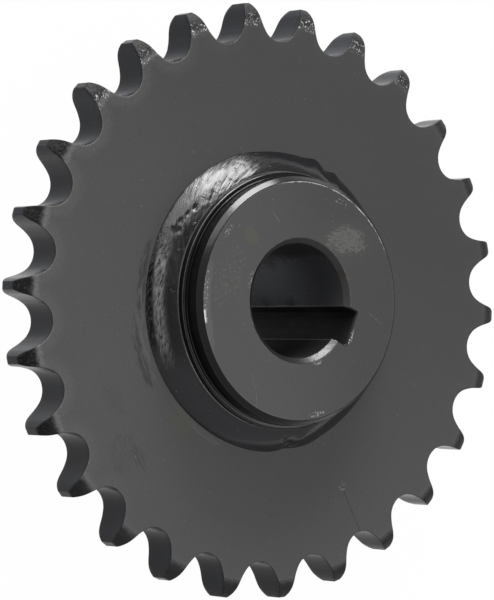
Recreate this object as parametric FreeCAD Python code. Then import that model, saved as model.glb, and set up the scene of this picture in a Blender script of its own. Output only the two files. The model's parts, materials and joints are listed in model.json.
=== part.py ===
import FreeCAD, Part
import math
import os

# A roller chain sprocket: a toothed plate slipped over a turned, keyed hub and welded to it
# on both sides. Lengths are in millimetres and angles in degrees. The bore's axis is Z, the
# hub stands on its back end at Z = 0, and the keyway and one tooth gap point along +X.

# The chain that the teeth take
chain_pitch = 19.05
roller_dia = 11.91
tooth_count = 26

# The toothed plate
tip_dia = 167.6
plate_thickness = 11.1
bevel_depth = 5.4       # how far in from the tips the side bevels start
bevel_width = 2.9       # what a bevel takes off each side at the tips
hub_seat_gap = 0.05     # radial gap between the plate's hole and the hub

# The hub
hub_dia = 72.0
hub_length = 54.0
hub_front_reach = 14.1  # from the plate's front face to the hub's front end
nose_dia = 69.3         # the front end, turned down a little
nose_length = 5.7
step_break = 0.4
end_chamfer = 1.4
bore_dia = 32.0
bore_chamfer = 1.5

# The keyway, for a parallel key
key_width = 10.0
key_depth = 3.5         # from the bore's wall down to the middle of the floor
key_corner_radius = 0.4
key_mouth_break = 0.4

# The weld beads
bead_leg_on_plate = 6.4
bead_leg_on_hub = 6.2
bead_crown = 0.5        # how far the bead's face bulges past its straight slope
bead_waver = 0.45       # how far the toe wanders in and out
bead_sections = 48

# Worked out from the sizes above
tip_radius = tip_dia / 2
hub_radius = hub_dia / 2
nose_radius = nose_dia / 2
bore_radius = bore_dia / 2
tooth_angle = 360 / tooth_count
pitch_radius = chain_pitch / 2 / math.sin(math.radians(tooth_angle / 2))
plate_front = hub_length - hub_front_reach
plate_back = plate_front - plate_thickness
step_height = hub_length - nose_length
key_floor = bore_radius + key_depth

# The tools that cut run this far past what they cut
overrun = 1.0

centre = FreeCAD.Vector(0, 0, 0)
up = FreeCAD.Vector(0, 0, 1)


def save(name, shape):
    """Checks one piece and writes it to its own file."""
    solids = shape.Solids
    if len(solids) != 1 or not solids[0].isValid():
        raise ValueError(name + " is not one valid solid")
    solids[0].exportStep(os.path.join("parts", name + ".step"))
    print(name, "volume", round(solids[0].Volume, 1), "mm3")


def turned(points_and_arcs):
    """Turns a closed profile in the XZ plane about the Z axis. Each entry is a point, or a
    point reached along an arc, given as the arc's middle and then that point."""
    edges = []
    last = points_and_arcs[-1][-1]
    for entry in points_and_arcs:
        here = [FreeCAD.Vector(x, 0, z) for x, z in entry]
        start = FreeCAD.Vector(last[0], 0, last[1])
        if len(here) == 1:
            edges.append(Part.LineSegment(start, here[0]).toShape())
        else:
            edges.append(Part.Arc(start, here[0], here[1]).toShape())
        last = entry[-1]
    return Part.Face(Part.Wire(edges)).revolve(centre, up, 360)


def toward(angle):
    """A direction in a tooth gap that opens along +X: 0 is sideways, +Y, and 90 outward, +X."""
    return FreeCAD.Vector(math.sin(math.radians(angle)), math.cos(math.radians(angle)), 0)


def arc(middle, radius, start, end):
    """An arc between two directions of the tooth gap."""
    points = [middle + toward(angle) * radius for angle in (start, (start + end) / 2, end)]
    return Part.Arc(*points).toShape()


def tooth_gap():
    """The outline of one gap, from the point of one tooth to that of the next. Each flank is
    the roller's seat, a hollow working arc, a short straight and a round topping arc."""
    half_tooth = tooth_angle / 2
    seat_radius = 0.5025 * roller_dia
    seat_end = -(35 + 60 / tooth_count)
    work_end = seat_end + 18 - 56 / tooth_count
    seat_middle = FreeCAD.Vector(pitch_radius, 0, 0)
    work_middle = seat_middle - toward(seat_end) * 0.8 * roller_dia
    work_radius = seat_radius + 0.8 * roller_dia
    topping_middle = seat_middle + toward(-half_tooth) * 1.4 * roller_dia
    straight_start = work_middle + toward(work_end) * work_radius
    along = toward(work_end + 90)
    straight_end = straight_start + along * along.dot(topping_middle - straight_start)
    topping_radius = straight_end.distanceToPoint(topping_middle)
    # The two topping arcs of a tooth meet in a point on its middle line, beyond the tip circle
    beside = 1.4 * roller_dia - chain_pitch / 2
    point_radius = (pitch_radius * math.cos(math.radians(half_tooth))
                    + math.sqrt(topping_radius ** 2 - beside ** 2))
    tooth_point = toward(90 - half_tooth) * point_radius
    reach = tooth_point - topping_middle
    topping_end = math.degrees(math.atan2(reach.x, reach.y))
    flank = [
        arc(work_middle, work_radius, seat_end, work_end),
        Part.LineSegment(straight_start, straight_end).toShape(),
        arc(topping_middle, topping_radius, work_end + 180, topping_end),
    ]
    other_flank = [edge.mirror(centre, FreeCAD.Vector(0, 1, 0)) for edge in flank]
    seat = arc(seat_middle, seat_radius, seat_end, -180 - seat_end)
    return flank + [seat] + other_flank


def sprocket_plate():
    """The plate: a turned blank with bevelled sides, and the teeth cut round it."""
    bevel_radius = (bevel_depth ** 2 + bevel_width ** 2) / (2 * bevel_width)
    bevel_start = tip_radius - bevel_depth
    half_sweep = math.asin(bevel_depth / bevel_radius) / 2
    bulge_out = bevel_start + bevel_radius * math.sin(half_sweep)
    bulge_down = bevel_radius * (1 - math.cos(half_sweep))
    hole_radius = hub_radius + hub_seat_gap
    blank = turned([
        [(hole_radius, plate_back)],
        [(bevel_start, plate_back)],
        [(bulge_out, plate_back + bulge_down), (tip_radius, plate_back + bevel_width)],
        [(tip_radius, plate_front - bevel_width)],
        [(bulge_out, plate_front - bulge_down), (bevel_start, plate_front)],
        [(hole_radius, plate_front)],
    ])
    outline = []
    for number in range(tooth_count):
        for edge in tooth_gap():
            outline.append(edge.rotated(centre, up, number * tooth_angle))
    teeth = Part.Face(Part.Wire(Part.__sortEdges__(outline)))
    teeth.translate(up * (plate_back - overrun))
    teeth = teeth.extrude(up * (plate_thickness + 2 * overrun))
    return blank.common(teeth)


def keyway_outline(margin, height):
    """The keyway's section with rounded floor corners, open towards the bore's axis."""
    side = key_width / 2 + margin
    floor = key_floor + margin
    round_off = key_corner_radius
    near = round_off * (1 - math.sqrt(0.5))
    points = [(0, -side), (floor - round_off, -side), (floor - near, near - side),
              (floor, round_off - side), (floor, side - round_off), (floor - near, side - near),
              (floor - round_off, side), (0, side)]
    spots = [FreeCAD.Vector(x, y, height) for x, y in points]
    return Part.Wire([
        Part.LineSegment(spots[0], spots[1]).toShape(),
        Part.Arc(spots[1], spots[2], spots[3]).toShape(),
        Part.LineSegment(spots[3], spots[4]).toShape(),
        Part.Arc(spots[4], spots[5], spots[6]).toShape(),
        Part.LineSegment(spots[6], spots[7]).toShape(),
        Part.LineSegment(spots[7], spots[0]).toShape(),
    ])


def hub():
    """The hub: one turning with a bore through it, and the keyway cut down the bore's wall."""
    body = turned([
        [(bore_radius + bore_chamfer, 0)],
        [(hub_radius - end_chamfer, 0)],
        [(hub_radius, end_chamfer)],
        [(hub_radius, step_height - step_break)],
        [(hub_radius - step_break, step_height)],
        [(nose_radius, step_height)],
        [(nose_radius, hub_length - end_chamfer)],
        [(nose_radius - end_chamfer, hub_length)],
        [(bore_radius + bore_chamfer, hub_length)],
        [(bore_radius, hub_length - bore_chamfer)],
        [(bore_radius, bore_chamfer)],
    ])
    slot = Part.Face(keyway_outline(0, -overrun)).extrude(up * (hub_length + 2 * overrun))
    body = body.cut(slot)
    # The keyway's edges are broken where it runs out of the two end faces
    for face, outward in ((0, -1), (hub_length, 1)):
        mouth = [keyway_outline(0, face - outward * key_mouth_break),
                 keyway_outline(key_mouth_break + overrun, face + outward * overrun)]
        body = body.cut(Part.makeLoft(mouth, True, True))
    return body


def bead_section(angle, plate_face, outward):
    """One section of a bead, wandering a little with the angle round the hub. It runs into
    the plate and the hub, which are cut away from it afterwards."""
    turn = math.radians(angle)
    waver = bead_waver * (0.6 * math.sin(2 * turn + 0.7) + 0.4 * math.sin(5 * turn + outward))
    toe = hub_radius + bead_leg_on_plate + waver
    top = bead_leg_on_hub + 0.4 * waver
    inside = hub_radius - overrun
    slope = math.hypot(toe - hub_radius, top)
    bulge_x = (hub_radius + toe) / 2 + bead_crown * top / slope
    bulge_z = top / 2 + bead_crown * (toe - hub_radius) / slope
    corners = [(inside, -overrun), (toe, -overrun), (toe, 0), (hub_radius, top), (inside, top)]
    spots = [FreeCAD.Vector(x, 0, plate_face + outward * z) for x, z in corners]
    bulge = FreeCAD.Vector(bulge_x, 0, plate_face + outward * bulge_z)
    section = Part.Wire([
        Part.LineSegment(spots[0], spots[1]).toShape(),
        Part.LineSegment(spots[1], spots[2]).toShape(),
        Part.LineSegment(spots[2], bulge).toShape(),
        Part.LineSegment(bulge, spots[3]).toShape(),
        Part.LineSegment(spots[3], spots[4]).toShape(),
        Part.LineSegment(spots[4], spots[0]).toShape(),
    ])
    section.rotate(centre, up, angle)
    return section


def weld_bead(plate_face, outward):
    """A fillet weld round the hub, on the face of the plate that looks outward."""
    step = 360 / bead_sections
    sections = [bead_section(number * step, plate_face, outward) for number in range(bead_sections)]
    ring = Part.makeLoft(sections, True, True, True)
    hub_core = Part.makeCylinder(hub_radius, hub_length)
    hub_core.rotate(centre, up, step / 3)
    plate_core = Part.makeCylinder(tip_radius, plate_thickness, FreeCAD.Vector(0, 0, plate_back))
    return ring.cut(hub_core).cut(plate_core)


os.makedirs("parts", exist_ok=True)
save("sprocket_plate", sprocket_plate())
save("hub", hub())
save("front_weld_bead", weld_bead(plate_front, 1))
save("back_weld_bead", weld_bead(plate_back, -1))
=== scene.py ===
import bmesh
import bpy
import json
import math
from mathutils import Matrix, Vector, noise

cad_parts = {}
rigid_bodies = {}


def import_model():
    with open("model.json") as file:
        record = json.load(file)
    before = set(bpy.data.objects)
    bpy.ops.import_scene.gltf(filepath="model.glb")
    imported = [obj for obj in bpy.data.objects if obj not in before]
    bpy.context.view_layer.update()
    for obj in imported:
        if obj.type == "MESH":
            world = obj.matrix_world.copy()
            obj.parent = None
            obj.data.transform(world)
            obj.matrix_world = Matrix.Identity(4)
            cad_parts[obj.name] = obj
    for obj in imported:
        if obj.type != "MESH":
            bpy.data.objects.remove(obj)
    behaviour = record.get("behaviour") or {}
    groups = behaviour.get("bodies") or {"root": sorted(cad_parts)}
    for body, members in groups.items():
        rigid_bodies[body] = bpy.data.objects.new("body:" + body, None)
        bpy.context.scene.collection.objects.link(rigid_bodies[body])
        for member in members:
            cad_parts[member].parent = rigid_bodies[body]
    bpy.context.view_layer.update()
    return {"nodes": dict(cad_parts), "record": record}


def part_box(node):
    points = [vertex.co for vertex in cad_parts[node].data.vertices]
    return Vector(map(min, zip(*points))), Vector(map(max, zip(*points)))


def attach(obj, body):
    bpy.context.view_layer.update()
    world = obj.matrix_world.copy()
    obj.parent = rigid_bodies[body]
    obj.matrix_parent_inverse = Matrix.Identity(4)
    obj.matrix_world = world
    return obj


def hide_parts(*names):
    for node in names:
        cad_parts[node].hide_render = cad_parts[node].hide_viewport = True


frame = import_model()
print("frame loaded:", ", ".join(sorted(frame["nodes"])))

mm = 0.001
mergeGap = 0.001 * mm       # corners nearer than this become one
sameLine = 1e-7             # places that differ by less count as being on one line
scene = bpy.context.scene
scene.view_settings.view_transform = "Standard"
mounts = {mount["name"]: mount for mount in frame["record"]["mounts"]}
# how high the plate's two faces and the hub's front face lie, in millimetres
plateBottom, plateTop = [corner.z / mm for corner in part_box("sprocket_plate")]
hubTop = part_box("hub")[1].z / mm


# Small helpers for every piece

def dropDefaults():
    for thing in list(bpy.data.objects):
        if thing.type in {"CAMERA", "LIGHT"} or thing.name == "Cube":
            bpy.data.objects.remove(thing)


def addObject(name, data):
    thing = bpy.data.objects.new(name, data)
    scene.collection.objects.link(thing)
    return thing


def vertsOf(geometry):
    return [part for part in geometry if isinstance(part, bmesh.types.BMVert)]


def edgesOf(geometry):
    return [part for part in geometry if isinstance(part, bmesh.types.BMEdge)]


def drawArc(bm, vert, middle, angle, steps, axis=(0, 0, 1)):
    swept = bmesh.ops.spin(bm, geom=[vert], cent=middle, axis=axis, angle=angle, steps=steps)
    return vertsOf(swept["geom_last"])[0]


def drawLine(bm, vert, end, steps=1):
    start = vert.co.copy()
    for step in range(1, steps + 1):
        longer = bmesh.ops.extrude_vert_indiv(bm, verts=[vert])
        vert = longer["verts"][0]
        vert.co = start.lerp(Vector(end), step / steps)
    return vert


def drawRing(bm, corners):
    # a closed profile in the XZ plane, from radii and heights
    first = bmesh.ops.create_vert(bm, co=(corners[0][0], 0, corners[0][1]))["vert"][0]
    vert = first
    for radius, height in corners[1:]:
        vert = drawLine(bm, vert, (radius, 0, height))
    bmesh.ops.contextual_create(bm, geom=[vert, first])


def copyRound(bm, parts):
    bmesh.ops.spin(bm, geom=bm.verts[:] + bm.edges[:] + bm.faces[:], cent=(0, 0, 0), axis=(0, 0, 1),
                   angle=2 * math.pi * (parts - 1) / parts, steps=parts - 1, use_duplicate=True)
    bmesh.ops.remove_doubles(bm, verts=bm.verts, dist=mergeGap)


def turnRing(bm, columns, parts=1):
    # turns a profile all the way round, or one part of the way and then copies that part
    bmesh.ops.spin(bm, geom=bm.verts[:] + bm.edges[:], cent=(0, 0, 0), axis=(0, 0, 1),
                   angle=2 * math.pi / parts, steps=columns // parts, use_merge=parts == 1)
    if parts > 1:
        copyRound(bm, parts)
    bmesh.ops.recalc_face_normals(bm, faces=bm.faces)


def roundOff(bm, geometry, size, segments, kind="EDGES"):
    bmesh.ops.bevel(bm, geom=geometry, offset=size, offset_type="OFFSET", segments=segments,
                    profile=0.5, affect=kind, material=-1, clamp_overlap=kind == "EDGES")


def sharpEdges(bm, degrees):
    limit = math.radians(degrees)
    return [edge for edge in bm.edges if edge.is_manifold and edge.calc_face_angle(0) > limit]


def cutAway(bm, cutter):
    # takes the cutter's shape out of a closed shape
    holders = []
    for shape in (bm, cutter):
        mesh = bpy.data.meshes.new("cutting")
        shape.to_mesh(mesh)
        holders.append(addObject("cutting", mesh))
    modifier = holders[0].modifiers.new("cut", "BOOLEAN")
    modifier.operation = "DIFFERENCE"
    modifier.solver = "EXACT"
    modifier.object = holders[1]
    depsgraph = bpy.context.evaluated_depsgraph_get()
    result = bpy.data.meshes.new_from_object(holders[0].evaluated_get(depsgraph))
    bm.clear()
    bm.from_mesh(result)
    cutter.free()
    bpy.data.meshes.remove(result)
    for holder in holders:
        mesh = holder.data
        bpy.data.objects.remove(holder)
        bpy.data.meshes.remove(mesh)


def makePiece(bm, name, materials, slotName, *nodes):
    bmesh.ops.remove_doubles(bm, verts=bm.verts, dist=mergeGap / 2)
    bmesh.ops.recalc_face_normals(bm, faces=bm.faces)
    for face in bm.faces:
        face.smooth = True
    mesh = bpy.data.meshes.new(name)
    bm.to_mesh(mesh)
    bm.free()
    for material in materials:
        mesh.materials.append(material)
    piece = addObject(name, mesh)
    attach(piece, "root")
    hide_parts(*nodes)
    modifier = piece.modifiers.new("evenShading", "WEIGHTED_NORMAL")
    modifier.keep_sharp = True
    modifier.weight = 60
    depsgraph = bpy.context.evaluated_depsgraph_get()
    mesh = piece.evaluated_get(depsgraph).to_mesh()
    mesh.calc_loop_triangles()
    print(piece.name, "triangles", len(mesh.loop_triangles))


# Helpers for the materials. A new node goes into the tree that its inputs come from.

def setInputs(node, values):
    for slot, value in values.items():
        socket = node.inputs[slot]
        if isinstance(value, bpy.types.NodeSocket):
            node.id_data.links.new(value, socket)
        elif value is not None:
            socket.default_value = fullColour(value) if socket.type == "RGBA" else value
    return node


def fullColour(value):
    # from a grey level, or from red, green and blue
    return (value, value, value, 1) if isinstance(value, (int, float)) else (*value[:3], 1)


def addNode(kind, values, **settings):
    tree = next(value.id_data for value in values.values() if isinstance(value, bpy.types.NodeSocket))
    node = tree.nodes.new("ShaderNode" + kind)
    for label, setting in settings.items():
        setattr(node, label, setting)
    return setInputs(node, values)


def calc(operation, *values):
    return addNode("Math", dict(enumerate(values)), operation=operation).outputs[0]


def times(first, *others):
    for other in others:
        first = calc("MULTIPLY", first, other)
    return first


def larger(first, *others):
    for other in others:
        first = calc("MAXIMUM", first, other)
    return first


def minus(first, second):
    return calc("SUBTRACT", first, second)


def apart(first, second):
    return calc("ABSOLUTE", minus(first, second))


def mulAdd(value, factor, added):
    return calc("MULTIPLY_ADD", value, factor, added)


def vectorCalc(operation, *values):
    node = addNode("VectorMath", dict(enumerate(values)), operation=operation)
    return node.outputs["Value" if operation in {"LENGTH", "DOT_PRODUCT"} else "Vector"]


def splitVector(vector):
    return addNode("SeparateXYZ", {0: vector}).outputs


def joinVector(*values):
    return addNode("CombineXYZ", dict(enumerate(values))).outputs[0]


def ease(value, low, high, start=0, end=1):
    # a soft step: start below low, end above high
    return addNode("MapRange", {0: value, 1: low, 2: high, 3: start, 4: end},
                   interpolation_type="SMOOTHSTEP").outputs[0]


def grain(vector, scale, detail=2, roughness=0.5):
    return addNode("TexNoise", {"Vector": vector, "Scale": scale, "Detail": detail,
                                "Roughness": roughness}).outputs[0]


def blend(factor, first, second, kind="MIX"):
    return addNode("Mix", {0: factor, 6: first, 7: second}, data_type="RGBA", blend_type=kind).outputs[2]


def tint(colour, paint, *masks):
    # paints over a colour where every mask is high
    return blend(times(*masks), colour, paint)


def shade(colour, light):
    return blend(1, colour, joinVector(light, light, light), "MULTIPLY")


def pick(factor, first, second):
    return addNode("Mix", {0: factor, 2: first, 3: second}).outputs[0]


def newGroup(name, **defaults):
    # each default's length says whether its input is a number, a vector or a colour
    tree = bpy.data.node_groups.new(name, "ShaderNodeTree")
    for label, value in defaults.items():
        kind = {3: "Vector", 4: "Color"}[len(value)] if isinstance(value, tuple) else "Float"
        socket = tree.interface.new_socket(name=label, in_out="INPUT", socket_type="NodeSocket" + kind)
        socket.default_value = value
    return tree, tree.nodes.new("NodeGroupInput").outputs


def endGroup(tree, **results):
    for label, value in results.items():
        kind = "Color" if value.type == "RGBA" else "Float"
        tree.interface.new_socket(name=label, in_out="OUTPUT", socket_type="NodeSocket" + kind)
    setInputs(tree.nodes.new("NodeGroupOutput"), results)
    return tree


def place(group, spot=None, **values):
    # puts a group in a material; its inputs are named as they are in the group
    if spot is not None:
        values["spot"] = spot
    return addNode("Group", values, node_tree=group).outputs


def coat(spot, paint, clouds, tooth, specks):
    # the colour, relief and clouds of a brushed coat
    return place(paintGrain, spot, paint=paint, clouds=clouds, tooth=tooth, specks=specks)[:]


def mark(colour, paint, strength, spot, **shape):
    return tint(colour, paint, place(patch, spot, **shape)["mask"], strength)


def wearAndLightBand(spot, distance, width, ragged):
    return place(edgeWearAndLight, spot, distance=distance, width=width, ragged=ragged)["mask"]


def newMaterial(name, shine):
    # gives the spot in millimetres from the part's origin
    material = bpy.data.materials.new(name)
    material.use_nodes = True
    nodes = material.node_tree.nodes
    setInputs(nodes["Principled BSDF"], {"Specular IOR Level": shine})
    metres = nodes.new("ShaderNodeTexCoord").outputs["Object"]
    return material, vectorCalc("SCALE", metres, None, None, 1000)


def endMaterial(material, colour, roughness, relief, reach):
    # reach is the bump's depth in metres for a relief of 1
    bump = addNode("Bump", {"Height": relief, "Distance": reach}).outputs[0]
    shader = material.node_tree.nodes["Principled BSDF"]
    setInputs(shader, {"Base Color": colour, "Roughness": roughness, "Normal": bump})
    return material


# Node groups that the materials share. Their vectors are in millimetres.

def buildTurningPlace():
    # angle in degrees from the side away from the keyway
    tree, given = newGroup("turningPlace", spot=(0, 0, 0))
    x, y, z = splitVector(given["spot"])
    turn = calc("ARCTAN2", times(y, -1), times(x, -1))
    radius = vectorCalc("LENGTH", joinVector(x, y, 0))
    return endGroup(tree, radius=radius, angle=calc("DEGREES", turn), height=z)


def buildPaintGrain():
    # brushed-on paint: broad clouds, a fine tooth and a few pale and dark specks
    tree, given = newGroup("paintGrain", spot=(0, 0, 0), paint=(0.06, 0.06, 0.06, 1), clouds=0.1, tooth=0.1,
                           specks=0.5)
    spot = given["spot"]
    cloud = grain(spot, 0.045, 4, 0.55)
    tooth = grain(spot, 1.1, 3, 0.6)
    light = mulAdd(minus(cloud, 0.5), given["clouds"], 1)
    light = mulAdd(minus(tooth, 0.5), given["tooth"], light)
    colour = shade(given["paint"], light)
    warm = ease(grain(spot, 0.09, 2), 0.52, 0.72)
    colour = blend(times(warm, 0.4), colour, (1.03, 1.01, 0.95), "MULTIPLY")
    pale = ease(grain(spot, 0.9, 1), 0.73, 0.78)
    dark = ease(grain(vectorCalc("ADD", spot, (31, 7, 12)), 0.8, 1), 0.735, 0.78)
    colour = tint(colour, (0.13, 0.128, 0.12), pale, given["specks"])
    colour = tint(colour, 0.03, dark, given["specks"])
    height = mulAdd(pale, 0.6, mulAdd(cloud, 2, tooth))
    return endGroup(tree, colour=colour, height=height, cloud=cloud)


def buildEdgeWearAndLight():
    # a ragged band from an edge inwards, given the distance from that edge; it marks wear, painted
    # highlights and painted shade
    tree, given = newGroup("edgeWearAndLight", spot=(0, 0, 0), distance=0, width=1, ragged=1)
    rough = minus(grain(given["spot"], 0.9, 3, 0.65), 0.5)
    rough = times(rough, given["width"], given["ragged"])
    away = mulAdd(rough, 3, calc("ABSOLUTE", given["distance"]))
    return endGroup(tree, mask=ease(away, times(given["width"], 0.35), given["width"], 1, 0))


def buildScratch():
    # a line between two points, thinning towards its ends
    tree, given = newGroup("scratch", spot=(0, 0, 0), start=(0, 0, 0), end=(0, 0, 0), width=0.3, broken=0.5)
    along = vectorCalc("SUBTRACT", given["end"], given["start"])
    wobble = minus(grain(given["spot"], 0.35, 2), 0.5)
    here = vectorCalc("SUBTRACT", given["spot"], given["start"])
    share = calc("DIVIDE", vectorCalc("DOT_PRODUCT", here, along), vectorCalc("DOT_PRODUCT", along, along))
    kept = calc("MINIMUM", larger(share, 0), 1)
    nearest = vectorCalc("SCALE", along, None, None, kept)
    away = vectorCalc("LENGTH", vectorCalc("SUBTRACT", here, nearest))
    away = calc("ABSOLUTE", mulAdd(wobble, given["width"], away))
    line = ease(away, 0, given["width"], 1, 0)
    gaps = ease(grain(given["spot"], 0.8, 1), 0.35, 0.6)
    return endGroup(tree, mask=times(line, pick(given["broken"], 1, gaps)))


def buildPatch():
    # a soft round or oval place, broken up by grain; stretch squeezes it along each axis
    tree, given = newGroup("patch", spot=(0, 0, 0), middle=(0, 0, 0), stretch=(1, 1, 1), size=5,
                           grainSize=1, density=0.5)
    here = vectorCalc("SUBTRACT", given["spot"], given["middle"])
    away = vectorCalc("LENGTH", vectorCalc("DIVIDE", here, given["stretch"]))
    soft = ease(away, times(given["size"], 0.3), given["size"], 1, 0)
    rough = grain(given["spot"], calc("DIVIDE", 1, given["grainSize"]), 3, 0.6)
    limit = minus(1, times(soft, given["density"]))
    return endGroup(tree, mask=times(ease(minus(rough, limit), -0.03, 0.09), soft), soft=soft)


def buildBrushMarks():
    # fine streaks in a soft oval, laid at an angle in degrees from +X
    tree, given = newGroup("brushMarks", spot=(0, 0, 0), middle=(0, 0, 0), angle=0, length=8, width=4,
                           fineness=1, density=0.5)
    x, y = splitVector(vectorCalc("SUBTRACT", given["spot"], given["middle"]))[:2]
    turn = calc("RADIANS", given["angle"])
    cosine, sine = calc("COSINE", turn), calc("SINE", turn)
    along = mulAdd(x, cosine, times(y, sine))
    across = minus(times(y, cosine), times(x, sine))
    away = vectorCalc("LENGTH", joinVector(calc("DIVIDE", along, given["length"]),
                                           calc("DIVIDE", across, given["width"]), 0))
    soft = ease(away, 0.25, 1, 1, 0)
    lines = joinVector(times(along, 0.4), times(across, 1.7), 0)
    rough = grain(lines, given["fineness"], 3, 0.65)
    limit = minus(1, times(soft, given["density"]))
    return endGroup(tree, mask=times(ease(minus(rough, limit), -0.03, 0.1), soft), soft=soft)


turningPlace = buildTurningPlace()
paintGrain = buildPaintGrain()
edgeWearAndLight = buildEdgeWearAndLight()
scratch = buildScratch()
patch = buildPatch()
brushMarks = buildBrushMarks()
print("shared node groups ready")


# The toothed plate

plateSizes = {
    "teeth": mounts["chain_teeth"]["dims"]["count"],
    "pitchRadius": mounts["chain_teeth"]["dims"]["pcd_mm"] / 2 * mm,
    "rollerDia": 11.91 * mm,
    "seatArc": 0.5025,                  # the arcs' sizes, as shares of the roller's diameter
    "workArc": 0.8,
    "toppingArc": 1.4,
    "bevelDepth": 5.4 * mm,
    "bevelWidth": 2.9 * mm,
    "edgeRound": 0.2 * mm,
    "acrossTooth": 10,
    "wallSteps": 6,
    "rings": (0.965, 0.88, 0.72),       # inner rings, as shares of the gap bottoms' radius
    "holeGap": 0.05 * mm,
    "sharpAngle": 35,                   # edges sharper than this are rounded
    "wallSlope": 0.2,                   # the walls' normals rise less than this
}


# The finishes give a coat as its colour and how cloudy, how grained and how specked it is.

plateFinish = {
    "paint": ((0.051, 0.0508, 0.0516), 0.26, 0.34, 0.5),
    "rimPaint": (0.098, 0.0975, 0.096),             # paler paint beside the gaps on one side
    "bevelPaint": (0.0035, 0.0035, 0.0038),         # painted shade: the dark that the bevels on one side reflect
    "plainBevel": (0.026, 0.026, 0.027),
    "wallPaint": ((0.0055, 0.007, 0.0115), 0.4, 0.4, 0.25),
    "scratch": ((44.6, -38.3, plateTop), (57.9, -49.4, plateTop)),
    # where the tooth's outline changes from one arc to the next, measured outward in mm
    "flankStart": 75.4,
    "tipStart": 79.2,
    "toppingRadius": 9.75,
    # where the bevel coat and the painted highlight line beside it start and end, also outward
    "bevelEdge": (78.7, 80.3),
    "bevelHighlightLine": (76.8, 78.4),
}


def compass(angle):
    # 0 is sideways, +Y, and 90 outward, +X, in a gap that opens along +X
    return Vector((math.sin(math.radians(angle)), math.cos(math.radians(angle)), 0))


def toothForm():
    # the angle where the seat ends, its radius, and the middles of the seat, the working arc and the
    # topping arc
    sizes = plateSizes
    roller = sizes["rollerDia"]
    seatEnd = -(35 + 60 / sizes["teeth"])
    seat = Vector((sizes["pitchRadius"], 0, 0))
    work = seat - compass(seatEnd) * sizes["workArc"] * roller
    topping = seat + compass(-180 / sizes["teeth"]) * sizes["toppingArc"] * roller
    return seatEnd, sizes["seatArc"] * roller, (seat, work, topping)


def buildGapFold():
    # folds the plate into one gap that opens along +X, and measures how far in from the teeth's
    # outline a place is, from the seat, the working arc and the topping arc in turn
    sizes, finish = plateSizes, plateFinish
    tree, given = newGroup("gapFold", radius=80, angle=0)
    sector = 360 / sizes["teeth"]
    turns = calc("ADD", calc("DIVIDE", given["angle"], sector), 100.5)
    folded = calc("RADIANS", times(minus(calc("FRACT", turns), 0.5), sector))
    along = times(given["radius"], calc("COSINE", folded))
    across = times(given["radius"], calc("SINE", folded))
    spot = joinVector(along, calc("ABSOLUTE", across), 0)
    seatRadius, middles = toothForm()[1:]
    workRadius = seatRadius + sizes["workArc"] * sizes["rollerDia"]
    seat, work, topping = [vectorCalc("LENGTH", vectorCalc("SUBTRACT", spot, tuple(middle / mm)))
                           for middle in middles]
    lower = pick(calc("GREATER_THAN", along, finish["flankStart"]), minus(seat, seatRadius / mm),
                 minus(work, workRadius / mm))
    inset = pick(calc("GREATER_THAN", along, finish["tipStart"]), lower,
                 minus(finish["toppingRadius"], topping))
    return endGroup(tree, inset=inset)


def paintedShadeAcross(spot, colour, litSide, reach, darkest):
    # painted shade: the coat is a little darker towards one side, as the light falls off across the part
    share = calc("DIVIDE", vectorCalc("DOT_PRODUCT", spot, litSide), reach)
    return shade(colour, ease(share, -0.8, 0.6, darkest, 1.09))


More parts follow.
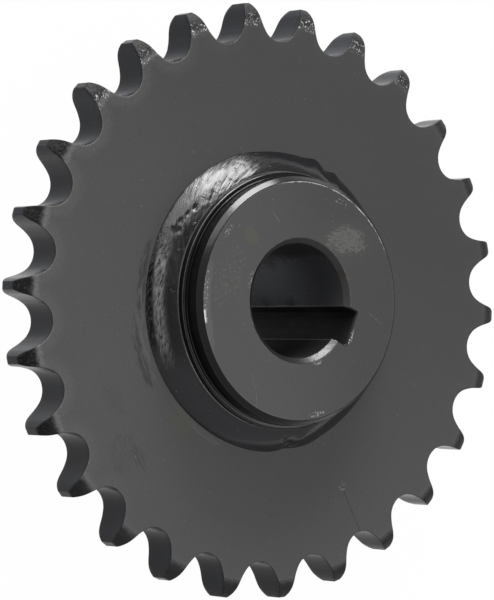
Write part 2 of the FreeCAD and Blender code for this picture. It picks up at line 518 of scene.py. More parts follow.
def buildFacePaint():
    finish = plateFinish
    material, spot = newMaterial("facePaint", 0.5)
    radius, angle = place(turningPlace, spot)[:2]
    inset = place(gapFold, radius=radius, angle=angle)["inset"]
    colour, relief, cloud = coat(spot, *finish["paint"])
    # painted shade: the plate's face is darker towards one side
    colour = paintedShadeAcross(spot, colour, (-0.2, -0.98, 0), 80, 0.76)
    # on one side the coat is paler beside the gaps: a thin band at the edge and a broad faint one
    oneSide = ease(apart(angle, 8), 34, 72, 1, 0.12)
    thin = wearAndLightBand(spot, inset, 0.7, 0.5)
    broad = wearAndLightBand(spot, inset, 4.4, 0.4)
    flecks = ease(grain(spot, 1.6, 3, 0.7), 0.36, 0.62, 0.4, 1)
    paleMarks = times(flecks, oneSide)
    colour = tint(colour, finish["rimPaint"], broad, paleMarks, 0.42)
    colour = tint(colour, finish["rimPaint"], thin, paleMarks, 0.9)
    # the bevels are bare of the pale paint, with a painted highlight along the line where they start
    ragged = grain(spot, 0.8, 4, 0.7)
    edge = mulAdd(minus(ragged, 0.5), 2.6, radius)
    onBevel = ease(edge, *finish["bevelEdge"])
    line = times(ease(edge, *finish["bevelHighlightLine"]), minus(1, onBevel))
    colour = tint(colour, (0.125, 0.125, 0.123), line, paleMarks)
    # painted shade: on one side the bevels are darker and mottled, for the dark that they reflect
    bevelShade = blend(ease(grain(spot, 1.3, 3, 0.7), 0.5, 0.68), finish["bevelPaint"],
                  (0.026, 0.026, 0.0265))
    nextSide = ease(apart(angle, -58), 38, 54, 1, 0)
    shadedBevels = times(oneSide, minus(1, nextSide))
    colour = blend(onBevel, colour, blend(shadedBevels, finish["plainBevel"], bevelShade))
    # painted glints: bright specks on the bevels on the next side
    bevelGlints = times(ease(radius, 76.8, 78.2), ease(radius, 80.2, 81.4, 1, 0))
    bevelGlints = times(bevelGlints, nextSide, ease(grain(spot, 1.5, 2.5, 0.62), 0.545, 0.645))
    glintClumps = ease(grain(vectorCalc("ADD", spot, (5, 3, 0)), 0.3, 2), 0.42, 0.56, 0.3, 1)
    colour = tint(colour, 0.62, bevelGlints, glintClumps)
    # dark smears and pits beside the weld, pale bands beside its toe that are a painted highlight, a yellow
    # stain, a dull area and one long scratch
    around = joinVector(radius, times(angle, 0.7), 0)
    pale, dark = ((0.1, 0.1, 0.099), 0.5), (0.016, 0.8)
    for out, along, length, width, density, smearAndSheenPaint in (
            (44.2, 12, 26, 3.6, 0.58, dark), (46.8, 30, 20, 4.2, 0.56, dark),
            (44.4, 24, 30, 4, 0.54, pale), (43.6, 55, 22, 2.4, 0.58, pale)):
        smearAndSheen = place(brushMarks, around, middle=(out, along, 0), angle=90, length=length, width=width,
                      fineness=0.6, density=density)["mask"]
        colour = tint(colour, smearAndSheenPaint[0], smearAndSheen, smearAndSheenPaint[1])
    stain = place(patch, spot, middle=(-14.5, -42.5, plateTop), size=6, grainSize=3, density=0.7)
    colour = tint(colour, (0.064, 0.062, 0.045), stain["soft"], 0.6)
    for x, y, length, width, lean, strength in ((-24.1, -57.1, 9, 5.5, -35, 0.55),
                                                (-29.5, -58, 15, 10, -72, 0.3),
                                                (-38, -46, 12, 7, -20, 0.25)):
        dull = place(brushMarks, spot, middle=(x, y, plateTop), angle=lean, length=length, width=width,
                     fineness=0.75, density=0.56)["mask"]
        colour = tint(colour, 0.02, dull, strength)
    start, end = finish["scratch"]
    cut = place(scratch, spot, start=start, end=end, width=0.5, broken=0.25)["mask"]
    colour = tint(colour, 0.028, cut, 0.8)
    colour = mark(colour, (0.13, 0.13, 0.125), 1, spot, middle=start, size=3.2, grainSize=0.7,
                  density=0.5)
    relief = mulAdd(cut, -2, relief)
    relief = mulAdd(times(onBevel, ragged), 12, relief)
    roughness = pick(onBevel, mulAdd(cloud, 0.12, 0.46), 0.5)
    return endMaterial(material, colour, roughness, relief, 0.00003)


def buildWallPaint():
    material, spot = newMaterial("wallPaint", 0.22)
    # cutter lines run straight through the plate
    lines = grain(vectorCalc("MULTIPLY", spot, (1, 1, 0.03)), 1.5, 3, 0.6)
    colour, relief = coat(spot, *plateFinish["wallPaint"])[:2]
    colour = tint(colour, (0.007, 0.009, 0.014), ease(lines, 0.5, 0.75), 0.5)
    height = splitVector(spot)[2]
    fromFace = calc("MINIMUM", minus(plateTop, height), minus(height, plateBottom))
    colour = tint(colour, 0.003, wearAndLightBand(spot, fromFace, 1.1, 1.1), 0.8)
    relief = mulAdd(lines, 3, relief)
    roughness = mulAdd(lines, 0.16, 0.05)
    return endMaterial(material, colour, roughness, relief, 0.00002)


gapFold = buildGapFold()
facePaint = buildFacePaint()
# the bevels have the same finish with hardly any shine
bevelPaint = facePaint.copy()
bevelPaint.name = "bevelPaint"
setInputs(bevelPaint.node_tree.nodes["Principled BSDF"], {"Specular IOR Level": 0.2})
wallPaint = buildWallPaint()


def drawFlank(bm, tipRadius):
    seatEnd, seatRadius, (seatMiddle, workMiddle, toppingMiddle) = toothForm()
    workEnd = seatEnd + 18 - 56 / plateSizes["teeth"]
    bottom = bmesh.ops.create_vert(bm, co=seatMiddle - Vector((seatRadius, 0, 0)))["vert"][0]
    vert = drawArc(bm, bottom, seatMiddle, math.radians(-90 - seatEnd), 12)
    vert = drawArc(bm, vert, workMiddle, math.radians(seatEnd - workEnd), 5)
    along = compass(workEnd + 90)
    vert = drawLine(bm, vert, vert.co + along * along.dot(toppingMiddle - vert.co), 2)
    reach = toppingMiddle.length
    toppingRadius = (vert.co - toppingMiddle).length
    corner = math.acos((toppingRadius ** 2 + reach ** 2 - tipRadius ** 2) / (2 * toppingRadius * reach))
    out = (vert.co - toppingMiddle).normalized()
    home = -toppingMiddle.normalized()
    drawArc(bm, vert, toppingMiddle, corner - out.angle(home), 10)
    return list(bm.edges)


def bevelDrop(radius, tipRadius):
    # how far a bevelled side lies below the plate's face, on an arc that starts level
    sizes = plateSizes
    inward = radius - (tipRadius - sizes["bevelDepth"])
    if inward <= 0:
        return 0
    bow = (sizes["bevelDepth"] ** 2 + sizes["bevelWidth"] ** 2) / (2 * sizes["bevelWidth"])
    return bow - math.sqrt(max(bow ** 2 - inward ** 2, 0))


def buildPlate():
    sizes = plateSizes
    low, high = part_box("sprocket_plate")
    tipRadius = high.y
    halfThickness = (high.z - low.z) / 2
    middle = (high.z + low.z) / 2
    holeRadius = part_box("hub")[1].x + sizes["holeGap"]
    toothTurn = 2 * math.pi / sizes["teeth"]
    bm = bmesh.new()
    flank = drawFlank(bm, tipRadius)
    # the other flank of the same tooth is its mirror image
    other = bmesh.ops.duplicate(bm, geom=list(bm.verts) + list(bm.edges))["geom"]
    across = Vector((-math.sin(toothTurn / 2), math.cos(toothTurn / 2), 0))
    for vert in vertsOf(other):
        vert.co -= 2 * across * vert.co.dot(across)
    bmesh.ops.bridge_loops(bm, edges=flank + edgesOf(other))
    crossing = [edge for edge in bm.edges
                if abs((edge.verts[0].co + edge.verts[1].co).dot(across)) < sameLine]
    bmesh.ops.subdivide_edges(bm, edges=crossing, cuts=sizes["acrossTooth"] - 1, use_grid_fill=True)
    # rings run from the row of gap bottoms in to the hole
    bottomRadius = sizes["pitchRadius"] - toothForm()[1]
    along = Vector((across.y, -across.x, 0))
    rootLine = min(vert.co.dot(along) for vert in bm.verts)
    row = [edge for edge in bm.edges
           if all(abs(vert.co.dot(along) - rootLine) < sameLine for vert in edge.verts)]
    for share in sizes["rings"] + (holeRadius / bottomRadius,):
        row = edgesOf(bmesh.ops.extrude_edge_only(bm, edges=row)["geom"])
        row = [edge for edge in row if all(len(vert.link_faces) <= 2 for vert in edge.verts)]
        for vert in {vert for edge in row for vert in edge.verts}:
            vert.co = vert.co.normalized() * bottomRadius * share
        row = [edge for edge in row if len(edge.link_faces) == 1]
    copyRound(bm, sizes["teeth"])
    bmesh.ops.translate(bm, verts=bm.verts, vec=(0, 0, halfThickness))
    thick = bmesh.ops.extrude_face_region(bm, geom=bm.faces[:])
    bmesh.ops.translate(bm, verts=vertsOf(thick["geom"]), vec=(0, 0, -2 * halfThickness))
    for vert in bm.verts:
        side = math.copysign(1, vert.co.z)
        vert.co.z = side * (halfThickness - bevelDrop(vert.co.xy.length, tipRadius))
    bmesh.ops.recalc_face_normals(bm, faces=bm.faces)
    bevelStart = tipRadius - sizes["bevelDepth"] - 0.3 * mm
    for face in bm.faces:
        onBevel = min(vert.co.xy.length for vert in face.verts) > bevelStart
        face.material_index = 1 if abs(face.normal.z) < sizes["wallSlope"] else 2 if onBevel else 0
    upright = [edge for edge in bm.edges if edge.verts[0].co.z * edge.verts[1].co.z < 0]
    bmesh.ops.subdivide_edges(bm, edges=upright, cuts=sizes["wallSteps"] - 1, use_grid_fill=True)
    roundOff(bm, sharpEdges(bm, sizes["sharpAngle"]), sizes["edgeRound"], 2)
    bmesh.ops.translate(bm, verts=bm.verts, vec=(0, 0, middle))
    makePiece(bm, "toothedPlate", [facePaint, wallPaint, bevelPaint], "plate_paint", "sprocket_plate")


# The hub

hubSizes = {
    "noseRadius": 34.65 * mm,
    "noseLength": 5.7 * mm,
    "stepBreak": 0.4 * mm,
    "endChamfer": 1.4 * mm,
    "boreChamfer": 1.5 * mm,
    "keyWidth": 10 * mm,
    "keyDepth": 3.5 * mm,
    "keyCorner": 0.4 * mm,
    "mouthBreak": 0.4 * mm,
    "edgeRound": 0.22 * mm,
    "cutRound": 0.14 * mm,
    "sharpAngle": 32,           # edges sharper than this are rounded
    "lipSlope": 0.3,            # the bore's chamfers have normals that rise more than this
    "columns": 200,
}


hubFinish = {
    "paint": ((0.0515, 0.0511, 0.0513), 0.24, 0.3, 0.6),
    "scuff": (0.115, 0.114, 0.108),
    "bareMetalAndGlint": (0.45, 0.44, 0.42),
    "sidePaint": ((0.0035, 0.0035, 0.004), 0.3, 0.5, 0.15),
    "chamferPaint": (0.012, 0.012, 0.0125),
    "borePaint": ((0.26, 0.27, 0.297), 0.5, 0.5, 0.2),
    "keywayPaint": (0.042, 0.043, 0.047),
    "keywaySideShade": (0.0035, 0.0036, 0.004),
    "lipPaint": ((0.042, 0.042, 0.042), 0.4, 0.6, 0.3),
    # radii and heights in mm, a pair where something starts softly
    "rimRadius": 33.3,
    "lipRadius": 17.4,
    "stepHeight": 47.95,
    "stepRadii": (35.7, 35.8),
    "chamferHeights": (52.2, 52.7),
    "keywayRadii": (16.1, 16.25),
    # two ends on the hub's face, width, and how broken the line is
    "scratches": [
        ((-19.6, 18.9), (-15.3, 17.1), 0.3, 0.8),
        ((22.6, 6.6), (28.8, 5.6), 0.3, 0.8),
        ((-7.6, -25.4), (-3.9, -29.6), 0.25, 0.9),
        ((-3.9, -29.6), (-2.4, -32.8), 0.25, 0.8),
        ((0.6, 26.4), (1.6, 24.8), 0.3, 0.9),
    ],
}


def buildHubPaint():
    finish = hubFinish
    material, spot = newMaterial("hubPaint", 0.5)
    radius, angle = place(turningPlace, spot)[:2]
    colour, relief, cloud = coat(spot, *finish["paint"])
    # painted shade: the hub's face is a little darker towards one side
    colour = paintedShadeAcross(spot, colour, (-0.8, -0.6, 0), 28, 0.66)
    # faint turning rings
    rings = grain(joinVector(radius, 0, 0), 1.7, 3, 0.6)
    colour = blend(0.2, colour, blend(rings, (0.055, 0.055, 0.054), (0.07, 0.07, 0.068)))
    # a scuffed place above the bore, made of short streaks
    scuff = place(brushMarks, spot, middle=(7.4, 21.8, hubTop), angle=23, length=14.5, width=8.5,
                  fineness=1.1, density=0.58)
    dots = place(patch, spot, middle=(9.6, 23, hubTop), stretch=(1.3, 0.8, 1), size=9, grainSize=1.1,
                 density=0.53)
    colour = tint(colour, finish["scuff"], scuff["soft"], 0.1)
    colour = tint(colour, finish["scuff"], larger(scuff["mask"], dots["mask"]), 0.75)
    # a worn place, torn metal, a yellow stain and dark marks
    colour = mark(colour, finish["scuff"], 0.6, spot, middle=(-25, -3, hubTop), stretch=(0.6, 1.3, 1),
                  size=16, grainSize=0.8, density=0.43)
    colour = mark(colour, finish["bareMetalAndGlint"], 1, spot, middle=(20.2, -2.2, hubTop), stretch=(0.35, 1, 1),
                  size=4.5, grainSize=0.6, density=0.5)
    colour = mark(colour, (0.075, 0.074, 0.05), 0.5, spot, middle=(-22.5, 9.5, hubTop), size=4.5,
                  grainSize=2, density=0.7)
    colour = mark(colour, 0.035, 0.7, spot, middle=(4.5, -21.8, hubTop), stretch=(1.6, 0.7, 1), size=6,
                  grainSize=0.9, density=0.42)
    # rubbed places and specks along the rim, at the bore's lip and low on the face, round the axis:
    # radius, place along a circle in mm (from the side away from the keyway), half length, half width
    around = joinVector(radius, times(angle, 0.55), 0)
    paleMarks = place(brushMarks, around, middle=(32.4, 14, 0), angle=90, length=24, width=3.4,
                   fineness=0.8, density=0.7)["mask"]
    colour = tint(colour, finish["scuff"], paleMarks, 0.45)
    chips = larger(*[
        place(patch, around, middle=(out, along, 0), stretch=(width, length, 1), size=1, grainSize=0.7,
              density=density)["mask"]
        for out, along, length, width, density in (
            (32.6, 12, 16, 2.2, 0.45), (31.2, -8, 6, 1.8, 0.45), (18.2, 2, 11, 1.6, 0.45),
            (32, 68, 6, 1.6, 0.5), (31, -52, 6, 2.6, 0.42), (18.2, 73, 6, 1.5, 0.5))])
    colour = tint(colour, (0.3, 0.3, 0.29), chips)
    cuts = larger(*[place(scratch, spot, start=(*start, hubTop), end=(*end, hubTop), width=width,
                          broken=broken)["mask"] for start, end, width, broken in finish["scratches"]])
    colour = tint(colour, (0.15, 0.15, 0.145), cuts, 0.5)
    # a painted glint on the rim
    rimGlint = place(scratch, spot, start=(-29, -15.9, hubTop), end=(-27.6, -18.2, hubTop), width=0.8,
                 broken=0)["mask"]
    colour = tint(colour, 0.8, rimGlint)
    # painted highlight: a pale line along the rim of the face, on one side
    rimHighlight = wearAndLightBand(spot, minus(radius, finish["rimRadius"]), 0.5, 0.9)
    rimHighlightSide = ease(apart(angle, -92), 26, 44, 1, 0.05)
    colour = tint(colour, finish["bareMetalAndGlint"], rimHighlight, rimHighlightSide)
    lip = wearAndLightBand(spot, minus(radius, finish["lipRadius"]), 0.25, 0.9)
    colour = tint(colour, finish["bareMetalAndGlint"], lip, 0.4)
    relief = mulAdd(larger(chips, cuts), -1.5, relief)
    relief = mulAdd(rings, 0.8, relief)
    roughness = mulAdd(cloud, 0.12, 0.44)
    return endMaterial(material, colour, roughness, relief, 0.00003)


def buildHubSidePaint():
    finish = hubFinish
    material, spot = newMaterial("hubSidePaint", 0.4)
    turned = place(turningPlace, spot)
    rings = grain(joinVector(turned["radius"], turned["height"], 0), 2.2, 3, 0.6)
    colour, relief = coat(spot, *finish["sidePaint"])[:2]
    colour = tint(colour, finish["chamferPaint"],
                  ease(turned["height"], *finish["chamferHeights"]))
    colour = tint(colour, (0.02, 0.02, 0.021), ease(rings, 0.55, 0.75), 0.35)
    # painted highlight along the edge of the step
    step = wearAndLightBand(spot, minus(turned["height"], finish["stepHeight"]), 0.16, 0.4)
    colour = tint(colour, 0.13, step, ease(turned["radius"], *finish["stepRadii"]), 0.45)
    relief = mulAdd(rings, 0.6, relief)
    roughness = mulAdd(rings, 0.1, 0.13)
    return endMaterial(material, colour, roughness, relief, 0.00002)


def buildBorePaint():
    finish = hubFinish
    material, spot = newMaterial("borePaint", 0.22)
    radius, angle, height = place(turningPlace, spot)
    inKeyway = ease(radius, *finish["keywayRadii"])
    lines = grain(vectorCalc("MULTIPLY", spot, (1, 1, 0.05)), 1.6, 3, 0.6)
    rings = grain(joinVector(height, 0, 0), 1.2, 2, 0.5)
    colour, relief = coat(spot, *finish["borePaint"])[:2]
    colour = tint(colour, (0.125, 0.13, 0.145), ease(lines, 0.5, 0.8), 0.4)
    # painted shade: darker towards the keyway, on the far side and towards the mouth
    drift = mulAdd(grain(spot, 0.13, 3, 0.6), 40, times(angle, -1))
    second = times(ease(drift, 66, 92), ease(drift, 116, 148, 1, 0))
    boreShade = larger(ease(drift, 160, 190, 0, 0.8), second, ease(height, 20, 46, 0, 0.85))
    colour = tint(colour, (0.008, 0.0072, 0.0068), boreShade, 0.9)
    colour = tint(colour, finish["keywayPaint"], inKeyway, 0.85)
    blotches = grain(vectorCalc("MULTIPLY", spot, (1, 1, 0.35)), 0.5, 3, 0.6)
    blotches = larger(ease(blotches, 0.5, 0.68), ease(lines, 0.52, 0.68))
    colour = tint(colour, (0.09, 0.092, 0.1), inKeyway, blotches, 0.6)
    # painted shade: the keyway is darker towards the mouth
    colour = tint(colour, (0.003, 0.003, 0.0035), inKeyway, ease(height, 30, 50), 0.85)
    # painted shade on one side of the keyway, and a painted highlight along its edges
    keywaySideShade = times(ease(angle, 92, 130), minus(1, inKeyway))
    colour = tint(colour, finish["keywaySideShade"], keywaySideShade, 0.96)
    x, y = splitVector(spot)[:2]
    fromEdge = minus(calc("ABSOLUTE", y), hubSizes["keyWidth"] / 2 / mm)
    edge = wearAndLightBand(spot, fromEdge, 0.42, 0.5)
    edge = times(edge, ease(x, 14.8, 15), ease(radius, 16.2, 16.5, 1, 0))
    colour = tint(colour, (0.7, 0.7, 0.71), edge, ease(height, 14, 50, 1, 0.04))
    colour = mark(colour, 0.07, 0.8, spot, middle=(-12.5, -9, hubTop - 4), stretch=(1, 0.6, 1.5), size=4,
                  grainSize=0.7, density=0.5)
    relief = mulAdd(lines, 1.5, relief)
    dull = larger(inKeyway, keywaySideShade, times(boreShade, 0.8))
    roughness = pick(dull, mulAdd(rings, 0.2, 0.3), 0.62)
    return endMaterial(material, colour, roughness, relief, 0.00003)


def buildLipPaint():
    # the chamfers at the bore's two ends
    middle = hubTop - 0.8
    material, spot = newMaterial("lipPaint", 0.5)
    colour, relief = coat(spot, *hubFinish["lipPaint"])[:2]
    rough = grain(spot, 1.6, 3, 0.65)
    # darker towards one side
    darkerSide = ease(vectorCalc("DOT_PRODUCT", spot, (-0.5, -0.86, 0)), 0, 10, 0, 0.85)
    colour = tint(colour, 0.006, darkerSide)
    colour = mark(colour, (0.036, 0.028, 0.021), 0.7, spot, middle=(10.6, 12.9, middle),
                  stretch=(0.6, 1, 1), size=4.2, grainSize=1.2, density=0.75)
    # torn metal beside the keyway
    torn = place(patch, spot, middle=(13, -10.5, middle), size=8, grainSize=0.9, density=0.6)
    colour = tint(colour, (0.14, 0.14, 0.137), torn["mask"], 0.8)
    relief = mulAdd(times(torn["soft"], rough), 0.9, relief)
    roughness = mulAdd(rough, 0.2, 0.28)
    return endMaterial(material, colour, roughness, relief, 0.00004)


hubPaint = buildHubPaint()
hubSidePaint = buildHubSidePaint()
borePaint = buildBorePaint()
lipPaint = buildLipPaint()


def keyCutter(boreRadius, length):
    sizes = hubSizes
    past = 1 * mm
    flare = sizes["mouthBreak"] + past
    floor = boreRadius + sizes["keyDepth"]
    cutter = bmesh.new()
    bmesh.ops.create_cube(cutter, size=1)
    bmesh.ops.scale(cutter, verts=cutter.verts, vec=(floor, sizes["keyWidth"], length + 2 * past))
    bmesh.ops.translate(cutter, verts=cutter.verts, vec=(floor / 2, 0, length / 2))
    floorEdges = [edge for edge in cutter.edges if all(vert.co.x > floor - past for vert in edge.verts)
                  and abs(edge.verts[0].co.z - edge.verts[1].co.z) > past]
    roundOff(cutter, floorEdges, sizes["keyCorner"], 3)
    for height in (sizes["mouthBreak"], length - sizes["mouthBreak"]):
        bmesh.ops.bisect_plane(cutter, geom=cutter.verts[:] + cutter.edges[:] + cutter.faces[:],
                               plane_co=(0, 0, height), plane_no=(0, 0, 1))
    for vert in cutter.verts:
        if vert.co.z < 0 or vert.co.z > length:
            vert.co.y += math.copysign(flare, vert.co.y)
            if vert.co.x > floor / 2:
                vert.co.x += flare
    return cutter


def buildHub():
    sizes = hubSizes
    low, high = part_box("hub")
    hubRadius, top, bottom = high.x, high.z, low.z
    boreRadius = mounts["bore"]["dims"]["r_mm"] * mm
    step = top - sizes["noseLength"]
    chamfer, boreChamfer = sizes["endChamfer"], sizes["boreChamfer"]
    bm = bmesh.new()
    drawRing(bm, [
        (boreRadius + boreChamfer, bottom),
        (hubRadius - chamfer, bottom),
        (hubRadius, bottom + chamfer),
        (hubRadius, step - sizes["stepBreak"]),
        (hubRadius - sizes["stepBreak"], step),
        (sizes["noseRadius"], step),
        (sizes["noseRadius"], top - chamfer),
        (sizes["noseRadius"] - chamfer, top),
        (boreRadius + boreChamfer, top),
        (boreRadius, top - boreChamfer),
        (boreRadius, bottom + boreChamfer),
    ])
    roundOff(bm, bm.verts[:], sizes["edgeRound"], 3, "VERTICES")
    turnRing(bm, sizes["columns"])
    bmesh.ops.rotate(bm, verts=bm.verts, cent=(0, 0, 0),
                     matrix=Matrix.Rotation(math.pi / sizes["columns"], 3, "Z"))
    cutAway(bm, keyCutter(boreRadius, top - bottom))
    roundOff(bm, sharpEdges(bm, sizes["sharpAngle"]), sizes["cutRound"], 2)
    for face in bm.faces:
        middle = face.calc_center_median()
        inside = middle.xy.length < boreRadius + boreChamfer + sizes["edgeRound"] * 0.4
        inKeyway = abs(middle.y) < sizes["keyWidth"] / 2 + 0.05 * mm and 0 < middle.x < boreRadius + 4 * mm
        atEnd = min(top - middle.z, middle.z - bottom) < 0.02 * mm
        if inside or inKeyway:
            sloping = abs(face.normal.z) > sizes["lipSlope"] and not inKeyway
            face.material_index = 3 if sloping else 2
        elif not atEnd:
            face.material_index = 1
    makePiece(bm, "turnedHub", [hubPaint, hubSidePaint, borePaint, lipPaint], "hub_paint", "hub")


# The weld beads

beadSizes = {
    "legOnPlate": 6.4 * mm,
    "legOnHub": 6.2 * mm,
    "crown": 0.5 * mm,
    "waver": 0.45 * mm,         # how far the toe wanders in and out
    "bite": 0.2 * mm,           # how deep the bead runs into the plate and the hub
    "rows": 24,
    "columns": 960,
    "parts": 12,
}

beadFinish = {
    "paints": ((0.007, 0.0068, 0.008), (0.035, 0.0348, 0.039)),       # the second where it ran smooth
    # the bead coat's pale specks are painted glints
    "coat": (0.3, 0.4, 0.5),
    "wrinklePaint": (0.03, 0.03, 0.032),
    "valleyShadePaint": (0.003, 0.003, 0.0033),
    "ribPaint": (0.2, 0.2, 0.203),
    "crestHighlightPaint": (0.11, 0.11, 0.112),
    # radii in mm, a pair where something starts or ends softly
    "crestRadius": 36.1,
    "valleyEnd": (38.9, 40.2),
    "ribStart": (38.7, 40),
    "undercutStart": (41.3, 41.8),
}

# Marks on the front bead: angle, place across (0 toe, 1 top), half widths of both, height in mm
frontMarks = [
    (205, 0.24, 17, 0.15, 0.30),        # a rough rib along the toe side
    (206, 0.64, 18, 0.09, -0.30),       # and the valley above it
    (205, 0.04, 18, 0.03, -0.22),       # undercut
    (162, 0.60, 1.3, 0.05, -0.45),      # pits
    (166, 0.52, 1.1, 0.04, -0.25),
    (170, 0.44, 1.6, 0.06, -0.38),
    (174, 0.50, 1.5, 0.05, -0.30),
    (173, 0.30, 1.5, 0.05, 0.22),
    (141, 0.72, 0.5, 0.10, -0.16),
    (299, 0.30, 1.3, 0.10, -0.50),      # a cold lap where the bead starts and ends
    (303, 0.16, 3, 0.05, -0.40),
    (296, 0.62, 0.8, 0.10, -0.30),
    (306, 0.45, 3, 0.25, 0.25),
    (262, 0.35, 3.5, 0.12, -0.14),
]
toeMarks = [
    # angle, half width and how far the toe moves out, in mm
    (92, 3.6, 0.85), (86, 2.2, -0.55), (81, 2, 0.5), (300, 4, -0.5), (312, 5, 0.3), (128, 6, 0.3),
]


def bellShape(distance, width):
    return math.exp(-(distance / width) ** 2)


def angleBetween(first, second):
    return (first - second + 180) % 360 - 180


def beadRelief(degrees, across, marks):
    # how far a place on the bead stands proud, in mm
    turn = math.radians(degrees)
    wide = Vector((2.2 * math.cos(turn), 2.2 * math.sin(turn), across * 0.9))
    busy = max(0, min(1, (62 - abs(angleBetween(degrees, 172))) / 18))
    along, up = degrees * 0.68, across * 8.9
    # creases run along the bead and lean a little, where it was laid fast
    lean = Vector((up * 0.85 - along * 0.25, along * 0.25 + up * 0.07, 7.7))
    relief = 0.16 * noise.noise(wide)
    relief += busy * (0.08 * noise.noise(lean * 0.7) + 0.045 * noise.noise(lean * 1.5))
    relief += (0.008 + 0.03 * busy) * noise.noise(Vector((along * 0.5 + up * 0.2, up * 0.6, 1.3)))
    for angle, middle, halfAngle, halfAcross, height in marks:
        relief += (height * bellShape(angleBetween(degrees, angle), halfAngle)
                   * bellShape(across - middle, halfAcross))
    if marks:
        # short slanting ripples in the rough rib
        rough = bellShape(angleBetween(degrees, 204), 20) * bellShape(across - 0.24, 0.22)
        ripple = Vector(((up * 0.7 + along * 0.2) * 1.1, (along * 0.97 - up * 0.14) * 0.25, 3.1))
        relief += 0.3 * rough * noise.noise(ripple)
        relief += 0.14 * rough * noise.noise(ripple * 2.1)
    edge = min(across / 0.07, (1 - across) / 0.06, 1)
    return relief * max(edge, 0)


def buildWeldPaint():
    finish = beadFinish
    material, spot = newMaterial("weldPaint", 0.5)
    radius, angle, height = place(turningPlace, spot)
    along = times(angle, 0.7)
    busy = ease(apart(angle, -8), 44, 62, 1, 0)
    flowed = times(ease(angle, 30, 60), ease(angle, 90, 179, 1, 0))
    calm = ease(calc("ABSOLUTE", angle), 150, 178, 0.2, 0)
    colour, relief = coat(spot, blend(flowed, *finish["paints"]), *finish["coat"])[:2]
    # wrinkles follow the bead and lean across it, where it was laid fast; the rest flowed smooth
    lean = mulAdd(radius, 1.3, times(along, 0.35))
    wrinkles = grain(joinVector(lean, times(along, 0.14), 0), 1.2, 2.5, 0.5)
    pits = times(ease(grain(spot, 0.7, 2), 0.64, 0.74), busy)
    light = times(ease(wrinkles, 0.5, 0.72), mulAdd(busy, 0.3, times(calm, 0.25)))
    colour = tint(colour, finish["wrinklePaint"], light)
    colour = tint(colour, 0.003, pits, 0.6)
    # the rough rib along the toe: slanting pale and black streaks, a valley above it darkened as painted
    # shade, and the undercut below it painted black as shade
    side = minus(radius, times(along, 0.2))
    ahead = mulAdd(radius, 0.2, along)
    streaks = grain(joinVector(side, times(ahead, 0.16), 0), 2.4, 3, 0.6)
    near = ease(apart(angle, 24), 14, 30, 1, 0)
    rib = times(near, ease(radius, *finish["ribStart"]))
    undercutShade = times(near, ease(radius, *finish["undercutStart"]))
    valleyShade = times(near, ease(radius, *finish["valleyEnd"], 1, 0))
    colour = tint(colour, finish["valleyShadePaint"], valleyShade, 0.6)
    colour = tint(colour, finish["ribPaint"], rib, ease(streaks, 0.28, 0.7))
    colour = tint(colour, 0.0015, rib, ease(streaks, 0.32, 0.4, 0.8, 0))
    colour = tint(colour, 0.0012, undercutShade, ease(streaks, 0.38, 0.5))
    # dirt and painted shade along the toe, and a painted highlight along the top edge, stronger on one side
    fromPlate = calc("MINIMUM", apart(height, plateTop), apart(height, plateBottom))
    toeDirtAndShade = wearAndLightBand(spot, fromPlate, 0.8, 0.8)
    colour = tint(colour, 0.0015, toeDirtAndShade, mulAdd(near, -0.5, mulAdd(busy, 0.75, 0.1)))
    crestHighlight = wearAndLightBand(spot, minus(radius, finish["crestRadius"]), 0.22, 0.5)
    crestHighlightSide = ease(apart(angle, -10), 60, 110, 0.7, 0.2)
    colour = tint(colour, finish["crestHighlightPaint"], crestHighlight, crestHighlightSide)
    relief = mulAdd(relief, mulAdd(busy, -0.6, 1), times(wrinkles, mulAdd(busy, 2.1, calm)))
    relief = mulAdd(pits, -1.2, relief)
    relief = mulAdd(times(rib, streaks), 2.2, relief)
    roughness = pick(busy, 0.13, mulAdd(valleyShade, 0.15, ease(wrinkles, 0.3, 0.7, 0.17, 0.32)))
    return endMaterial(material, colour, roughness, relief, 0.00005)


weldPaint = buildWeldPaint()


def buildBead(name, node, plateFace, outward, marks, toeShifts):
    sizes = beadSizes
    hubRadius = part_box("hub")[1].x
    toe, top, bite = hubRadius + sizes["legOnPlate"], sizes["legOnHub"], sizes["bite"]
    chord = math.hypot(toe - hubRadius, top)
    bow = chord ** 2 / 8 / sizes["crown"] + sizes["crown"] / 2
    half = math.asin(chord / 2 / bow)
    slope = Vector((top, 0, toe - hubRadius)).normalized()
    centre = Vector(((hubRadius + toe) / 2, 0, top / 2)) - slope * (bow - sizes["crown"])
    bm = bmesh.new()
    first = bmesh.ops.create_vert(bm, co=(hubRadius - bite, 0, -bite))["vert"][0]
    vert = drawLine(bm, first, (toe, 0, -bite), 3)
    vert = drawLine(bm, vert, (toe, 0, 0))
    vert = drawArc(bm, vert, centre, -2 * half, sizes["rows"], (0, 1, 0))
    vert = drawLine(bm, vert, (hubRadius - bite, 0, top))
    vert = drawLine(bm, vert, (hubRadius - bite, 0, top / 2))
    bmesh.ops.contextual_create(bm, geom=[vert, first])
    turnRing(bm, sizes["columns"], sizes["parts"])
    for vert in bm.verts:
        turn = math.atan2(vert.co.y, vert.co.x)
        degrees = math.degrees(turn) % 360
        radius, height = vert.co.xy.length, vert.co.z
        across = min(max((toe - radius) / (toe - hubRadius), 0), 1)     # 0 at the toe, 1 at the top
        waver = sizes["waver"] * (0.6 * math.sin(2 * turn + 0.7) + 0.4 * math.sin(5 * turn + outward))
        shift = sum(out * bellShape(angleBetween(degrees, angle), width) for angle, width, out in toeShifts)
        relief = beadRelief(degrees, across, marks) * mm
        radius += waver * (1 - across) + shift * mm * (1 - across) ** 2 + relief * slope.x
        height += 0.4 * waver * across + relief * slope.z
        vert.co = (radius * math.cos(turn), radius * math.sin(turn), plateFace + outward * height)
    makePiece(bm, name, [weldPaint], "weld_paint", node)


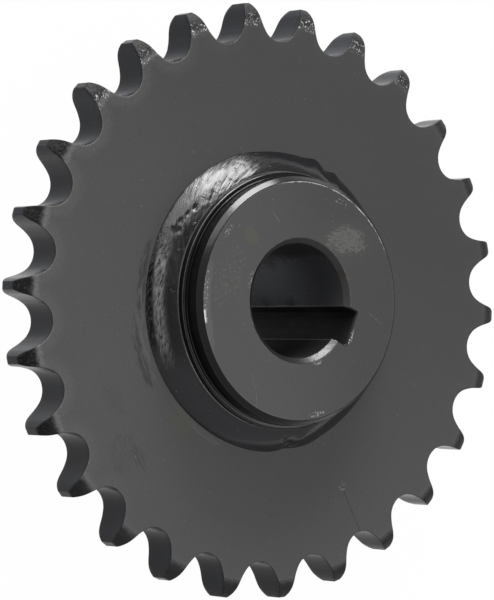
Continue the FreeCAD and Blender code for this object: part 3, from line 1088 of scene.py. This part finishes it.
dropDefaults()
buildPlate()
buildHub()
buildBead("frontBead", "front_weld_bead", plateTop * mm, 1, frontMarks, toeMarks)
buildBead("backBead", "back_weld_bead", plateBottom * mm, -1, [], [])


# Floor, lamps and camera

cameraSizes = {
    "target": Vector((-7.548, -3.002, 39.9)) * mm,
    "distance": 990.2 * mm,
    "azimuth": -65.828,
    "elevation": 53.597,
    "roll": 89.417,
    "lens": 212.787,
    "sensor": 36,
    "clip": (0.05, 20),
}


def cameraAxes():
    sizes = cameraSizes
    turn = math.radians(sizes["azimuth"])
    rise = math.radians(sizes["elevation"])
    toward = Vector((math.sin(turn) * math.cos(rise), -math.cos(turn) * math.cos(rise), math.sin(rise)))
    right = toward.cross(Vector((0, 0, 1))).normalized() * -1
    level = Matrix.Rotation(math.radians(sizes["roll"]), 3, toward)
    right = level @ right
    return right, toward.cross(right), toward


def addCamera():
    sizes = cameraSizes
    right, up, toward = cameraAxes()
    camera = addObject("photoCamera", bpy.data.cameras.new("photoCamera"))
    camera.data.lens = sizes["lens"]
    camera.data.sensor_width = sizes["sensor"]
    camera.data.clip_start, camera.data.clip_end = sizes["clip"]
    turn = Matrix((right, up, toward)).transposed()
    camera.matrix_world = Matrix.Translation(sizes["target"] + toward * sizes["distance"]) @ turn.to_4x4()
    scene.camera = camera


lampSizes = {
    # direction in the picture (right, up, towards the camera), distance, width, height, power
    "topCore": ((0.22, 0.95, 0.17), 1.8, 1.04, 0.72, 35),
    "topSpread": ((-0.1, 0.88, 0.4), 1.9, 1.9, 1.1, 22),
    "faceFill": ((0.8, -0.22, 0.57), 2.6, 2, 2, 24),
}


def addLamps():
    right, up, toward = cameraAxes()
    for name, (direction, distance, width, height, power) in lampSizes.items():
        lamp = bpy.data.lights.new(name, "AREA")
        lamp.shape = "RECTANGLE"
        lamp.size = width
        lamp.size_y = height
        lamp.energy = power
        holder = addObject(name, lamp)
        outward = (right * direction[0] + up * direction[1] + toward * direction[2]).normalized()
        holder.location = cameraSizes["target"] + outward * distance
        holder.rotation_mode = "QUATERNION"
        holder.rotation_quaternion = outward.to_track_quat("Z", "Y")


stageLook = {
    "world": 0.3,
    "floorHalf": 6,
    "floorDrop": 0.05 * mm,     # just clear of the part
    "floorGrey": 0.8,
    "floorRoughness": 0.9,
    "floorSeen": 0.985,         # how bright the camera sees it
    "floorMirrored": 0.45,      # and how bright reflections see it
}


def addWorld():
    world = bpy.data.worlds.new("studio")
    scene.world = world
    world.use_nodes = True
    background = world.node_tree.nodes["Background"]
    setInputs(background, {"Color": 1, "Strength": stageLook["world"]})


def addFloor():
    look = stageLook
    bm = bmesh.new()
    bmesh.ops.create_grid(bm, x_segments=1, y_segments=1, size=look["floorHalf"])
    mesh = bpy.data.meshes.new("floor")
    bm.to_mesh(mesh)
    bm.free()
    floor = addObject("floor", mesh)
    floor.location.z = -look["floorDrop"]
    material = bpy.data.materials.new("whiteFloor")
    material.use_nodes = True
    nodes = material.node_tree.nodes
    shader = nodes["Principled BSDF"]
    setInputs(shader, {"Base Color": look["floorGrey"], "Roughness": look["floorRoughness"]})
    # the camera sees it nearly white, with a faint shadow, and reflections see it half white
    path = nodes.new("ShaderNodeLightPath").outputs
    seen = larger(times(path["Is Camera Ray"], look["floorSeen"]),
                  times(path["Is Glossy Ray"], look["floorMirrored"]))
    glow = nodes.new("ShaderNodeEmission")
    both = addNode("MixShader", {0: seen, 1: shader.outputs[0], 2: glow.outputs[0]})
    setInputs(nodes["Material Output"], {"Surface": both.outputs[0]})
    mesh.materials.append(material)


addCamera()
addLamps()
addWorld()
addFloor()
print("stage ready")
